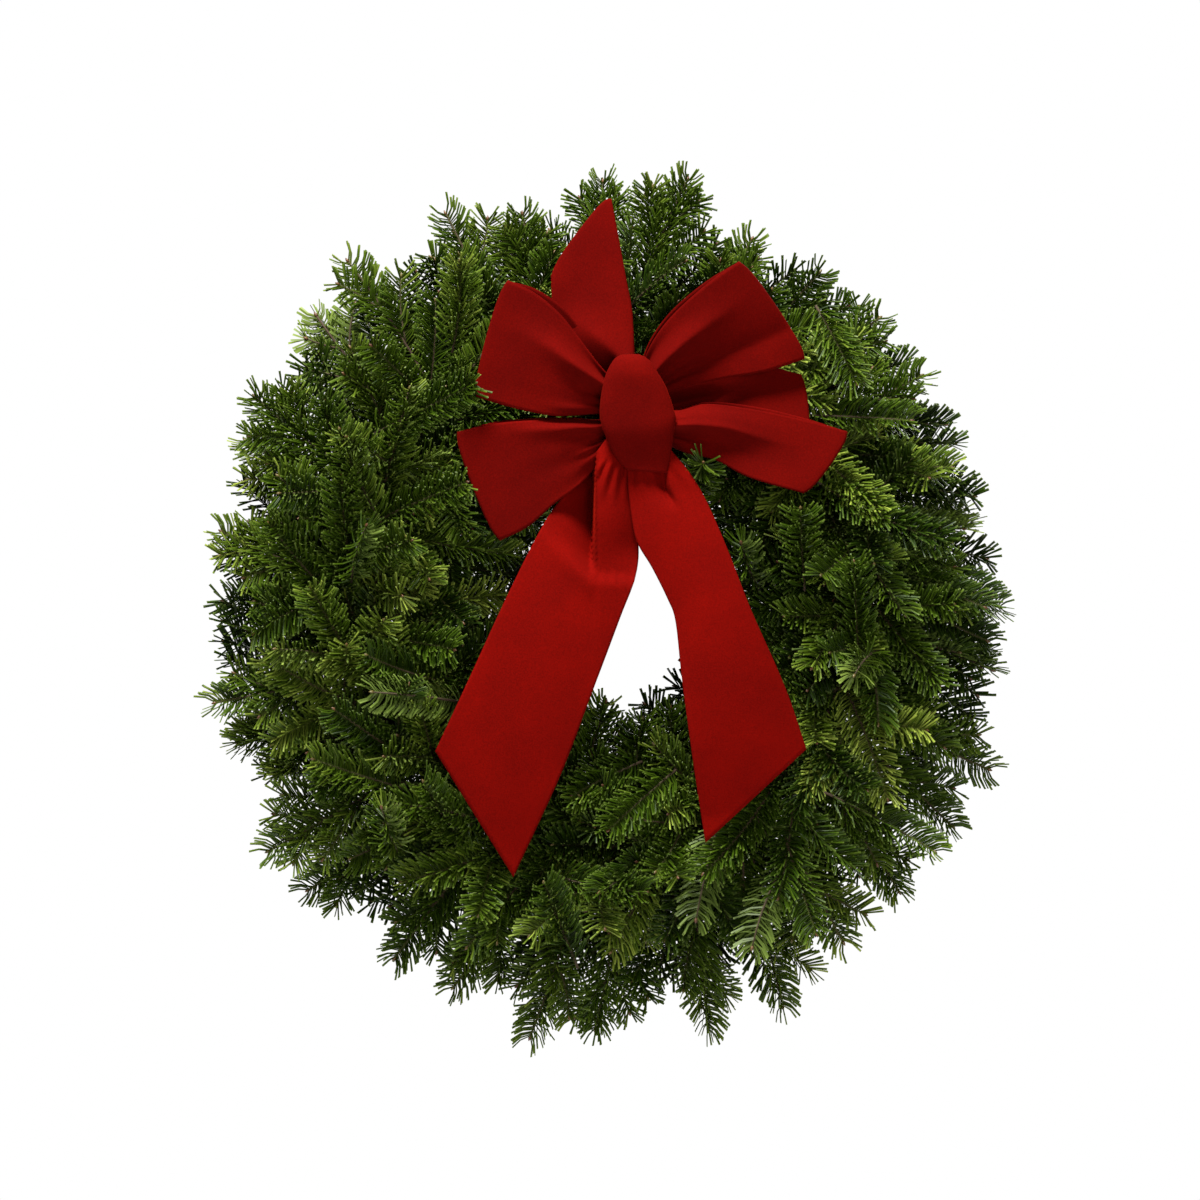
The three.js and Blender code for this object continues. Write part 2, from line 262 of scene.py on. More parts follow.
def pale_floor():
    """Painted studio floor: matt, nearly white."""
    material = new_material("pale_floor")
    tree = material.node_tree
    place = put(tree, "TexCoord")["Object"]
    # Roller marks and wear are about half a metre apart.
    uneven = put(tree, "TexNoise", {"Vector": place, "Scale": cells(500)})["Fac"]
    colour = put(tree, "ValToRGB", {"Fac": uneven}, [(0.3, "#e6e6e6"), (0.7, "#ececec")])["Color"]
    shader = put(tree, "BsdfPrincipled", {"Base Color": colour, "Roughness": 0.7})
    put(tree, "OutputMaterial", {"Surface": shader["BSDF"]})
    return material


# ---------------------------------------------------------------- meshes
def add_mesh(name, points, faces, material, uv=None, smooth=False):
    """One mesh object from points in metres and faces that all have as many corners."""
    faces = np.asarray(faces, np.int32)
    count, sides = faces.shape
    mesh = bpy.data.meshes.new(name)
    mesh.vertices.add(len(points))
    mesh.vertices.foreach_set("co", np.asarray(points, np.float32).ravel())
    mesh.loops.add(count * sides)
    mesh.loops.foreach_set("vertex_index", faces.ravel())
    mesh.polygons.add(count)
    mesh.polygons.foreach_set("loop_start", np.arange(0, count * sides, sides, dtype=np.int32))
    mesh.polygons.foreach_set("loop_total", np.full(count, sides, np.int32))
    mesh.polygons.foreach_set("use_smooth", np.full(count, smooth))
    mesh.update(calc_edges=True)
    if uv is not None:
        layer = mesh.uv_layers.new(name="OFBake")
        layer.data.foreach_set("uv", np.asarray(uv, np.float32).ravel())
    mesh.validate()
    mesh.materials.append(material)
    piece = bpy.data.objects.new(name, mesh)
    bpy.context.scene.collection.objects.link(piece)
    return piece


def finish_piece(piece, slot, *nodes):
    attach(piece, "root")
    if nodes:
        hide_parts(*nodes)


def turned_mesh(name, outlines, material, sides):
    """Closed tubes through rings of given radii: each outline has points, side and top vectors,
    radii, and a colour place u for each ring. Faces are triangles, with the ends closed."""
    turn = np.arange(sides) * 2 * math.pi / sides
    ring = np.arange(sides)
    beside = (ring + 1) % sides
    all_points, all_faces, all_uv = [], [], []
    offset = 0
    for points, side, top, radii, u in outlines:
        steps = len(points)
        outward = (np.cos(turn)[None, :, None] * side[:, None]
                   + np.sin(turn)[None, :, None] * top[:, None])
        body = points[:, None] + radii[:, None, None] * outward
        all_points += [body.reshape(-1, 3), points[[0, -1]]]
        low = (np.arange(steps - 1)[:, None] * sides + ring).ravel()
        low_beside = (np.arange(steps - 1)[:, None] * sides + beside).ravel()
        last = (steps - 1) * sides
        start, end = steps * sides, steps * sides + 1
        faces = np.concatenate([
            np.stack([low, low_beside, low + sides], axis=-1),
            np.stack([low_beside, low_beside + sides, low + sides], axis=-1),
            np.stack([np.full(sides, start), beside, ring], axis=-1),
            np.stack([np.full(sides, end), last + ring, last + beside], axis=-1),
        ])
        # Each corner's map place: its ring's u, nudged round the tube, and its share of the length.
        along = np.concatenate([np.repeat(np.linspace(0.06, 0.94, steps), sides), [0.02, 0.98]])
        tone = np.concatenate([(u[:, None] + 0.004 * ring).ravel(), [u[0], u[-1]]])
        all_uv.append(np.stack([tone[faces], along[faces]], axis=-1).reshape(-1, 2))
        all_faces.append(faces + offset)
        offset += steps * sides + 2
    return add_mesh(name, world(np.concatenate(all_points)), np.concatenate(all_faces), material,
                    np.clip(np.concatenate(all_uv), 0, 1), True)


# ---------------------------------------------------------------- fir
# How far out each bundle's longest tips reach, just inside the bundles' solids.
REACH = [315, 300, 300, 290, 286, 295, 298, 304, 311, 321, 299, 299, 287, 277, 285, 292]
STEM_RUN = [(-16, 8.3), (0, 8.3), (20, 9.8), (58, 26), (98, 44), (126, 56)]  # distance, depth
SPRIGS = [  # from, along, radius (0 for the bundle's reach), depth: close to the bundles' solids
    (14, 4, 240, -20),
    (22, 36, 0, 4),
    (48, 64, 0, 32),
    (74, 104, 264, 58),
    (92, 148, 248, 86),
    (112, 182, 208, 100),
    (98, 160, 154, 92),
    (86, 118, 112, 72),
    (60, 90, 92, 46),
    (30, 52, 90, 16),
]
RIM_SPRIGS = (0, 1, 2, 3)
SPRIG_WOBBLE = 5  # how far a sprig's tip strays from its place
RIM_STRAY = (-11, 4)  # how far a rim sprig falls short of the reach or passes it
FILLERS = [  # shoots without side shoots that fill the bundle: from, along, radius, depth
    (52, 104, 206, 58),
    (64, 112, 152, 60),
    (84, 136, 180, 72),
    (58, 96, 246, 56),
    (44, 84, 126, 54),
    (16, 62, 148, 22),
    (10, 44, 214, 24),
    (40, 92, 140, 34),
    (4, 70, 168, 14),
    (24, 88, 190, 30),
    (66, 128, 172, 52),
]
FILLER_WOBBLE = 7
# The backing shoots' very dark tone is painted shade in the deep recesses.
BACKING = 11  # dark old shoots in each bundle, packed evenly behind the others
BACKING_RING = (100, 236)  # from this radius to this one
BACKING_START, BACKING_RUN = 8, 70  # along the ring from the clamp
BEHIND = (12, 16)  # how much shorter and deeper the old shoot behind each rim sprig is
BEHIND_NEEDLED = 74  # length of such a shoot that still has its needles
GOLDEN_SHARE = 0.618
STEM_DEPTH = 8  # where the old shoots leave the stems
# Their tones are mostly light, and lower near the wreath's foot: painted light on the front shoots and
# painted shade at the foot.
FRONT_SHOOTS = [  # the shoots that stand out in front: tip, base (x, z, depth), tone, comb, turned over
    ((-93, 155, 120), (-166, 120, 78), 0.5, 0.1, False),
    ((-99, 85, 108), (-164, 58, 62), 0.55, 0.15, False),
    ((69, 99, 120), (62, 78, 66), 0.62, 0.1, False),
    ((-108, -34, 100), (-158, -26, 60), 0.5, 0.2, False),
    ((-189, 122, 116), (-160, 56, 84), 0.68, 0.15, False),
    ((-170, 54, 124), (-182, 14, 76), 0.5, 0.05, False),
    ((-104, 242, 104), (-110, 178, 78), 0.74, 0.12, False),
    ((-166, -64, 112), (-100, -72, 78), 0.62, 0.85, True),
    ((-170, -38, 104), (-122, -56, 72), 0.45, 0.8, False),
    ((-208, -112, 104), (-142, -134, 74), 0.66, 0.55, False),
    ((-159, -146, 126), (-150, -176, 78), 0.7, 0.1, False),
    ((-130, -128, 102), (-104, -172, 54), 0.52, 0.3, False),
    ((-24, -138, 88), (26, -114, 70), 0.52, 0.5, False),
    ((2, -162, 108), (50, -120, 72), 0.54, 0.5, False),
    ((0, -72, 60), (-14, -122, 44), 0.54, 0.2, False),
    ((26, -84, 66), (22, -132, 48), 0.5, 0.1, False),
    ((46, -76, 62), (58, -126, 46), 0.54, 0.2, False),
    ((-44, -200, 104), (-20, -262, 66), 0.42, 0.2, False),
    ((28, -206, 106), (-36, -196, 72), 0.46, 0.25, False),
    ((64, -226, 100), (80, -160, 72), 0.5, 0.8, True),
    ((150, -236, 98), (128, -168, 74), 0.5, 0.6, False),
    ((104, -246, 96), (126, -190, 70), 0.54, 0.6, True),
    ((234, -178, 88), (156, -136, 72), 0.56, 0.7, False),
    ((176, -52, 122), (196, -34, 74), 0.66, 0.15, True),
    ((138, 66, 116), (142, 8, 78), 0.52, 0.1, False),
    ((96, 42, 104), (110, 8, 60), 0.5, 0.1, False),
    ((176, 28, 108), (180, -40, 80), 0.48, 0.15, False),
    ((200, 60, 110), (150, 86, 78), 0.5, 0.2, False),
    ((178, 156, 96), (150, 212, 70), 0.6, 0.3, False),
    ((276, 4, 44), (216, 34, 40), 0.34, 0.95, False),
    ((274, -28, 36), (220, 4, 36), 0.3, 0.95, False),
]
CLOSE_SIDE = math.radians(160)  # the hole isn't round: the inner sprigs come in further there
CLOSE_REACH = 32  # by this much
BOW = (21, 136)  # where the knot is
LOOP_RUNS = [(153, 119), (-13, 139), (204, 123), (37, 125), (107, 137), (9, 120)]  # degrees, length
TAIL_ENDS = [(-94, -150), (107, -138)]
PRESSED = 60  # the bow presses the tips under it back to this depth
PRESSED_MARGIN = 52  # as far as this from the middle of a loop or a tail
DOOR = 20  # no twig reaches further back than this: the wreath hangs against a door


def wobble(i, k):
    """A fixed value from -1 to 1 for each pair of whole numbers."""
    n = math.sin(i * 12.9898 + k * 78.233) * 43758.5453
    return 2 * (n - math.floor(n)) - 1


def at(angle, radius, depth):
    return np.array([radius * math.cos(angle), -depth, radius * math.sin(angle)])


def spot(x, z, depth):
    return np.array([x, -depth, z], float)


def clamp_angle(i):
    return math.pi / 2 + (i + 0.5) * 2 * math.pi / BUNDLES


def along_ring(i, distance):
    """The angle a distance along the ring past clamp i: bundles are laid clockwise."""
    return clamp_angle(i) - distance / RING_RADIUS


def stem_point(i, distance):
    runs, depths = zip(*STEM_RUN)
    return at(along_ring(i, distance), RING_RADIUS, float(np.interp(distance, runs, depths)))


def settled(point):
    """A tip as it grew, but pressed back under the bow and never further back than the door."""
    knot = np.array(BOW, float)
    ends = [knot + length * np.array([math.cos(math.radians(a)), math.sin(math.radians(a))])
            for a, length in LOOP_RUNS] + [np.array(end, float) for end in TAIL_ENDS]
    flat = point[[0, 2]]
    for end in ends:
        way = end - knot
        share = np.clip(np.dot(flat - knot, way) / np.dot(way, way), 0, 1)
        if np.linalg.norm(knot + share * way - flat) < PRESSED_MARGIN:
            point[1] = max(point[1], -PRESSED)
    point[1] = min(point[1], DOOR)
    return point


def shoot(start, end, up, thick, density, comb, tone, age, bare=0.05, arch=0.0, bowed=False):
    """One needled twig, as a bent line from start to end with its upper side facing up. Its comb
    runs from 0, a brush all round, to 1, a flat comb; a bare share at its base has no needles."""
    way = end - start
    length = np.linalg.norm(way)
    axis = way / length
    up = across(up, axis)
    side = np.cross(axis, up)
    bend = side * rng.normal(0, 0.05) + up * (rng.normal(0.0, 0.02) - arch)
    return dict(start=start, middle=(start + end) / 2 + length * bend, end=end, length=length,
                up=up, side=side, thick=thick, density=density, comb=comb, tone=tone, age=age,
                bare=bare, bowed=bowed)


def curve_points(row, t):
    t = t[:, None]
    point = (1 - t) ** 2 * row["start"] + 2 * t * (1 - t) * row["middle"] + t * t * row["end"]
    way = 2 * (1 - t) * (row["middle"] - row["start"]) + 2 * t * (row["end"] - row["middle"])
    return point, unit(way)


def facing(axis):
    """A shoot turns its upper side to the light, which comes from above and in front."""
    return across(LIGHT + rng.normal(0, 0.3, 3), axis)


FRONT_DENSITY, RIM_DENSITY, BACK_DENSITY = 1.9, 1.75, 1.15  # needles to each millimetre of twig
SPRIG_THICK, SIDE_THICK, PLAIN_THICK, FRONT_THICK = 1.4, 0.95, 1.1, 1.05  # radius at the base
SIDE_LEAN, RIM_LEAN = 52, 32  # degrees between a side shoot and its sprig
SIDE_LENGTHS = (26, 70)  # the shortest and the longest side shoot
NEEDLED = 92  # needles last on this length of a sprig, and have dropped further down
BOWED_DEPTH = 66  # sprigs whose tips are in front of this show how their needles bow
TURNED_OVER = 0.015  # share of the sprigs that show their under side
# The rim tips get a lighter tone, painted light that lifts them out of their shade, and the fillers a
# darker one, painted shade between the shoots.
SPRIG_TONE, FILLER_TONE, RIM_PAINTED_LIGHT = 0.46, 0.22, 0.15  # tones run from 0, dark, to 1, light
# Tips get a lighter tone further forward and a darker one at the wreath's foot: painted light and
# painted shade.
PAINTED_LIGHT_FORWARD, PAINTED_SHADE_LOWER = 0.006, 0.1  # for each millimetre forward, at the wreath's foot
# Side shoots: how far along the sprig each one starts, and its share of the sprig's length.
SPRAY_SIDES = [(0.34, 0.46), (0.46, 0.42), (0.6, 0.34), (0.72, 0.26)]
RIM_SIDES = [(0.46, 0.36), (0.6, 0.3)]
PAIR_OF_SIDES = [(0.3, 0.62), (0.3, 0.58)]


def grow_sprig(rows, start, end, tone, rim, spray):
    """A fir tip and its side shoots: four to a flat spray, two short ones to another tip at the
    rim, and a long pair to any other."""
    axis = unit(end - start)
    up = facing(axis)
    comb = float(np.clip(rng.normal(0.6 if spray or rim else 0.2, 0.2), 0, 1))
    if rng.random() < TURNED_OVER:
        up = -up
        comb = max(comb, 0.5)
    length = np.linalg.norm(end - start)
    density = RIM_DENSITY if rim else FRONT_DENSITY
    bare = float(np.clip(1 - NEEDLED / length, 0.04, 0.4))
    main = shoot(start, end, up, SPRIG_THICK, density, comb, tone, age=0.35, bare=bare, arch=-0.05,
                 bowed=rim or -end[1] > BOWED_DEPTH)
    rows.append(main)
    hand = 1 if rng.random() < 0.5 else -1
    sides = SPRAY_SIDES if spray else RIM_SIDES if rim else PAIR_OF_SIDES
    for place, reach in sides:
        hand = -hand
        base = curve_points(main, np.array([place + rng.normal(0, 0.03)]))[0][0]
        lean = math.radians(rng.normal(RIM_LEAN if rim else SIDE_LEAN, 6))
        lift = rng.normal(0, 0.1) if spray else rng.normal(0.25, 0.2)
        out = math.cos(lean) * axis + math.sin(lean) * (hand * main["side"] + lift * up)
        size = float(np.clip(reach * length * rng.normal(1, 0.1), *SIDE_LENGTHS))
        tip = settled(base + unit(out) * size)
        rows.append(shoot(base, tip, up + rng.normal(0, 0.15, 3), SIDE_THICK, density, comb,
                          tone=float(np.clip(tone + rng.normal(0, 0.05), 0, 1)), age=0.7, arch=0.04))


def inner_reach(angle, radius):
    """A tip's radius, drawn in on the hole's close side."""
    side = ease((math.cos(angle - CLOSE_SIDE) - 0.55) / 0.3)
    return radius - CLOSE_REACH * side * ease((150 - radius) / 30)


def grow_bundle(i):
    """All shoots of a bundle: its sprigs, the fillers between them, and the old ones behind."""
    rows = []
    for k, (source, along, radius, depth) in enumerate(SPRIGS):
        stray = [SPRIG_WOBBLE * wobble(i, 3 * k + n) for n in range(3)]
        angle = along_ring(i, along + stray[0])
        radius = inner_reach(angle, radius or REACH[i])
        radius += rng.uniform(*RIM_STRAY) if k in RIM_SPRIGS else 0
        tip = settled(at(angle, radius + stray[1], depth + stray[2]))
        rim = k in RIM_SPRIGS
        # Painted light makes tips lighter at the rim and in front, and painted shade makes them darker
        # in the lower half of the wreath.
        shade = PAINTED_LIGHT_FORWARD * (depth - 64) + PAINTED_SHADE_LOWER * min(math.sin(angle), 0.0)
        shade = RIM_PAINTED_LIGHT if rim else shade
        tone = float(np.clip(rng.normal(SPRIG_TONE, 0.1 if rim else 0.19) + shade, 0.05, 0.88))
        base = stem_point(i, source)
        grow_sprig(rows, base, tip, tone, rim, k < 3 and rng.random() < 0.3)
        if rim:
            old = settled(at(angle, radius - BEHIND[0], depth + stray[2] - BEHIND[1]))
            bare = max(1 - BEHIND_NEEDLED / np.linalg.norm(old - base), 0.05)
            # The old shoot behind a rim sprig gets a mid tone, painted light against the shade at the
            # rim.
            rows.append(shoot(base, old, facing(unit(old - base)), PLAIN_THICK, BACK_DENSITY, comb=0.4,
                              tone=float(rng.uniform(0.36, 0.66)), age=0.4, bare=bare))
    for source, along, radius, depth in FILLERS:
        stray = rng.normal(0, FILLER_WOBBLE, 3)
        tip = settled(at(along_ring(i, along + stray[0]), radius + stray[1], depth + stray[2]))
        base = stem_point(i, source)
        density = FRONT_DENSITY if depth > 60 else RIM_DENSITY
        up = facing(unit(tip - base))
        comb = float(np.clip(rng.normal(0.15, 0.15), 0, 1))
        # Fillers are darker than the sprigs, and darker still further back: painted shade between and
        # behind the shoots.
        tone = float(np.clip(rng.normal(FILLER_TONE + 0.005 * (depth - 60), 0.1), 0, 0.7))
        rows.append(shoot(base, tip, up, PLAIN_THICK, density, comb, tone, age=0.5, bare=0.12,
                          arch=0.05))
    for n in range(BACKING):
        angle = along_ring(i, BACKING_START + BACKING_RUN * (n * GOLDEN_SHARE % 1))
        radius = inner_reach(angle, lerp(*BACKING_RING, (n + 0.5) / BACKING))
        tip = settled(at(angle, radius, rng.uniform(-4, 26)))
        base = at(angle + rng.uniform(34, 56) / RING_RADIUS, RING_RADIUS, STEM_DEPTH)
        # Their very dark tone is painted shade.
        rows.append(shoot(base, tip, facing(unit(tip - base)), PLAIN_THICK, BACK_DENSITY, comb=0.4,
                          tone=float(rng.uniform(0.0, 0.2)), age=0.4))
    return rows


NEEDLE_LENGTH = 18.0
NEEDLE_WIDTH = 2.0
BACK_WIDER = 1.25  # old needles deep inside are a little wider
NEEDLE_THICK = 0.7
NEEDLE_BOW = 0.4  # four times how far a bowed needle's middle stands out, as a share of its length
NEEDLE_LEAN = 62  # degrees between a needle and its twig
UPPER_CLOSER = 14  # degrees less for the needles on the top of the twig
TIP_CLOSER, COMB_TIP_CLOSER = 14, 16  # degrees less at the tip, and less again in a comb
TIP_RUN = 12  # length of the tip where the needles close in
BRUSH_SPREAD, STAR_SPREAD = 100, 165  # degrees that needles turn from the top to each side
COMB_SPREAD = (62, 34)  # degrees from the top where a comb's needles start, and how many they fill
COMB_OPEN = 0.3  # a comb's needles stand this much further apart than a brush's
GOLDEN = math.pi * (3 - math.sqrt(5))


def needles_of(row):
    """Base, direction, upper side, length, tone, width and bow of every needle on a twig."""
    count = int(row["length"] * (1 - row["bare"]) * row["density"] * (1 - COMB_OPEN * row["comb"]))
    # Needles stand closer towards the tip.
    t = row["bare"] + (1 - row["bare"]) * ((np.arange(count) + 0.6 * rng.random(count)) / count) ** 0.82
    point, axis = curve_points(row, t)
    up = across(row["up"], axis)
    side = np.cross(axis, up)
    turn = np.arange(count) * GOLDEN + rng.normal(0, 0.12, count)
    # Needles leave the twig all round but turn up off its under side: off the top of it in a
    # brush, out to both sides in a comb.
    share = np.abs((turn / math.pi) % 2 - 1)
    # On a shoot that faces the viewer they spread into a whole star.
    spread = lerp(BRUSH_SPREAD, STAR_SPREAD, ease(((axis @ FRONT) - 0.6) / 0.3))
    swing = np.radians(lerp(spread * share, COMB_SPREAD[0] + COMB_SPREAD[1] * share, row["comb"]))
    x, y = np.sin(swing) * np.where(np.arange(count) % 2, 1, -1), np.cos(swing)
    radial = x[:, None] * side + y[:, None] * up
    close = np.clip((row["length"] * (t - 1) + TIP_RUN) / TIP_RUN, 0, 1)
    closer = TIP_CLOSER + COMB_TIP_CLOSER * row["comb"]
    lean = NEEDLE_LEAN - UPPER_CLOSER * y - closer * close**1.5 + rng.normal(0, 5, count)
    lean = np.radians(lean)[:, None]
    way = unit(np.cos(lean) * axis + np.sin(lean) * radial + 0.05 * up
               + rng.normal(0, 0.05, (count, 3)))
    face = across(0.9 * up + 0.5 * axis + rng.normal(0, 0.2, (count, 3)), way)
    # The ones at the tip and nearest the stem are shorter.
    size = NEEDLE_LENGTH * (1 - 0.2 * close) * np.clip(0.72 + 2 * t, 0, 1) * rng.normal(1, 0.06, count)
    tone = np.clip(row["tone"] + rng.normal(0, 0.09, count) + 0.12 * close, 0, 0.999)
    wide = np.full(count, NEEDLE_WIDTH * (BACK_WIDER if row["density"] == BACK_DENSITY else 1))
    bow = -across(axis, way) * (NEEDLE_BOW if row["bowed"] else 0)
    return point + radial * row["thick"] * 0.2, way, face, size, tone, wide, bow


def bar_faces(steps):
    """Triangles of a three-cornered bar: at each ring its left, right and keel corners. The two
    upper sides and the tip come first, then the under side. Also how many are upper ones."""
    upper, under = [], []
    for left in range(0, 3 * steps, 3):
        right, keel = left + 1, left + 2
        upper += [(left, keel + 3, left + 3), (left, keel, keel + 3),
                  (right, right + 3, keel + 3), (right, keel + 3, keel)]
        under += [(left, left + 3, right), (right, left + 3, right + 3)]
    last = 3 * steps
    upper.append((last, last + 2, last + 1))
    return np.array(upper + under), len(upper)


def needle_bars(steps, base, way, face, size, tone, wide, bow):
    """Points, faces and map places of needles: bars, narrower at the twig, whose upper sides meet
    in a keel."""
    wide = np.cross(way, face) * wide[:, None] / 2
    high = face * NEEDLE_THICK
    rings = []
    for t in np.linspace(0, 1, steps + 1):
        middle = base + (way * t + bow * t * (1 - t)) * size[:, None]
        half = lerp(0.55, 0.8, t ** 0.5) * wide
        rings += [middle - half, middle + half, middle + lerp(1, 0.7, t) * high]
    points = np.stack(rings, axis=1)
    count, corners = points.shape[:2]
    triangles, uppers = bar_faces(steps)
    faces = (triangles[None] + corners * np.arange(count)[:, None, None]).reshape(-1, 3)
    side = np.tile([0.05, 0.95, 0.5], steps + 1)
    along = np.repeat(np.linspace(0.03, 0.97, steps + 1), 3)
    u = (np.floor(tone * TONES)[:, None, None] + side[triangles][None]) / (2 * TONES)
    u[:, uppers:] += 0.5
    v = np.broadcast_to(along[triangles][None], u.shape)
    return points.reshape(-1, 3), faces, np.stack([u, v], axis=-1).reshape(-1, 2)


def needle_mesh(name, needles, material):
    """All needles of a piece: the bowed ones in two steps, the straight ones in one."""
    parts = [np.concatenate(part) for part in zip(*needles)]
    bowed = np.any(parts[-1], axis=-1)
    straight = needle_bars(1, *(part[~bowed] for part in parts))
    bent = needle_bars(2, *(part[bowed] for part in parts))
    bent = bent[0], bent[1] + len(straight[0]), bent[2]
    points, faces, uv = (np.concatenate(pair) for pair in zip(straight, bent))
    return add_mesh(name, world(points), faces, material, uv)


TWIG_STEPS, TWIG_SIDES = 6, 5


def twig_outline(row):
    """A twig that tapers to its tip, with younger bark there."""
    t = np.linspace(0, 1, TWIG_STEPS)
    point, axis = curve_points(row, t)
    top = across(row["up"], axis)
    return point, np.cross(axis, top), top, row["thick"] * (1 - 0.45 * t), row["age"] - 0.1 + 0.2 * t


STEMS = 5  # in each bundle, side by side under the clamp
STEM_THICK = 2.0  # radius at the butt
STEM_OFF_MIDDLE = 3.2  # how far each stem lies from the middle of its bundle
STEM_STEPS = 14
BUTT_STAGGER = 9  # the butts don't line up
STEM_END, STEM_LONGER = 64, 15  # where the first stem ends, and how much further each one goes


def stem_outline(i, k):
    """One cut stem of a bundle, from its butt to where its last sprig leaves it."""
    start = STEM_RUN[0][0] + BUTT_STAGGER * (0.5 + 0.5 * wobble(i, 60 + k))
    distance = np.linspace(start, STEM_END + STEM_LONGER * k, STEM_STEPS)
    middle = np.array([stem_point(i, d) for d in distance])
    axis = unit(np.gradient(middle, axis=0))
    top = across(FRONT, axis)
    side = np.cross(axis, top)
    turn = 2 * math.pi * k / STEMS + 0.5 * wobble(i, 80 + k)
    away = STEM_OFF_MIDDLE * (1 - 0.5 * ease((distance - 30) / 60))
    line = middle + away[:, None] * (math.cos(turn) * side + math.sin(turn) * top)
    radii = STEM_THICK * lerp(1, 0.6, (distance - start) / (distance[-1] - start))
    age = np.concatenate([[0.0, 0.05], np.linspace(0.1, 0.4, STEM_STEPS - 2)])
    line[1] = line[0] + 0.02 * (line[1] - line[0])  # the cut face is clean at its edge
    return line, side, top, radii, age


BUD_SIDES = 5
BUD_RADII = np.array([0.55, 1.0, 0.75, 0.2])  # from base to point, as shares of the widest
END_BUD = (0, 3.6, 1.3)  # side of the shoot, length, radius
SIDE_BUDS = [(1, 2.6, 1.0), (-1, 2.6, 1.0)]
SIDE_BUD_DEPTH = 60  # shoots in front of this show their side buds


def bud_outlines(row):
    """A winter bud at the end of a shoot, with two smaller ones beside it in front."""
    point, axis = curve_points(row, np.ones(1))
    point, axis = point[0], axis[0]
    side = np.cross(axis, across(row["up"], axis))
    tone = 0.5 + 0.4 * math.sin(7 * row["length"])  # buds differ from shoot to shoot
    for out, length, wide in [END_BUD, *(SIDE_BUDS if -point[1] > SIDE_BUD_DEPTH else ())]:
        way = unit(axis + 0.75 * out * side)
        left = across(side, way)
        along = np.array([0.0, 0.3, 0.7, 1.05]) * length - 1.0
        top = np.cross(way, left)
        yield (point + way * along[:, None], np.tile(left, (4, 1)), np.tile(top, (4, 1)),
               wide * BUD_RADII, np.full(4, tone))


# ---------------------------------------------------------------- closing the gaps
GAP_CELL = 0.8  # size of the cells in which cover is counted
GAP_REACH = 340  # of the cells, from the middle
GAP_WINDOW = 6  # cells to each side of the one looked at
GAP_RING = (98, 256)  # between these radii the foliage shows hardly any light
GAP_OPEN = 0.84  # a spot less covered than this gets a shoot behind it
GAP_APART = 13
GAP_MOST = 84
GAP_PASSED = 22  # how far a shoot reaches past the spot that it closes
NEEDLE_SPOTS = 22  # points along each needle that are counted


def open_spots(needles):
    """Places in the front view where the light shows between the needles, the most open first."""
    twigs = [twig for bundle in needles for twig in bundle]
    base, way, size = (np.concatenate([twig[k] for twig in twigs]) for k in (0, 1, 3))
    points = np.concatenate([base + way * (size * s)[:, None] for s in np.linspace(0, 1, NEEDLE_SPOTS)])
    cell = ((points[:, [0, 2]] + GAP_REACH) / GAP_CELL).astype(int)
    seen = np.zeros((int(2 * GAP_REACH / GAP_CELL),) * 2)
    seen[cell[:, 0], cell[:, 1]] = 1
    window = range(-GAP_WINDOW, GAP_WINDOW + 1)
    near = sum(np.roll(seen, (a, b), (0, 1)) for a in window for b in window) / len(window) ** 2
    open_cells = np.argwhere(near < GAP_OPEN)
    places = (open_cells + 0.5) * GAP_CELL - GAP_REACH
    radius = np.linalg.norm(places, axis=1)
    hole = [inner_reach(math.atan2(z, x), GAP_RING[0]) for x, z in places]
    inside = (radius > hole) & (radius < GAP_RING[1])
    order = np.argsort(near[tuple(open_cells[inside].T)])
    chosen = []
    for place in places[inside][order]:
        if all(math.dist(place, other) > GAP_APART for other in chosen):
            chosen.append(place)
    return chosen[:GAP_MOST]


def tuck_in_shoots(bundles, needles):
    """Short shoots tucked in behind wherever the light would show."""
    for x, z in open_spots(needles):
        angle = math.atan2(z, x)
        middle = spot(x, z, rng.uniform(4, 26))
        base = at(angle + rng.uniform(30, 50) / RING_RADIUS, RING_RADIUS, STEM_DEPTH)
        way = unit(middle - base)
        tip = settled(middle + GAP_PASSED * way)
        # Their dark tone is painted shade behind the gaps.
        row = shoot(base, tip, facing(way), PLAIN_THICK, BACK_DENSITY, comb=0.35,
                    tone=float(rng.uniform(0.05, 0.3)), age=0.5)
        i = round((angle - clamp_angle(0)) / (2 * math.pi / BUNDLES)) % BUNDLES
        bundles[i].append(row)
        needles[i].append(needles_of(row))


# ---------------------------------------------------------------- ring and tie wire
CLAMP_INNER = 6.4  # radius inside a clamp
CLAMP_THICK = 1.8
CLAMP_WIDE = 6.0
CLAMP_GAP = 0.6  # half the angle left open between its two bent prongs
CLAMP_DEPTH = 8.3  # of its middle, so that its back is welded into the ring's front
CLAMP_EDGE = 0.45  # its edges are rounded this much
CLAMP_STEPS = 26
RING_STEPS, RING_SIDES = 144, 10


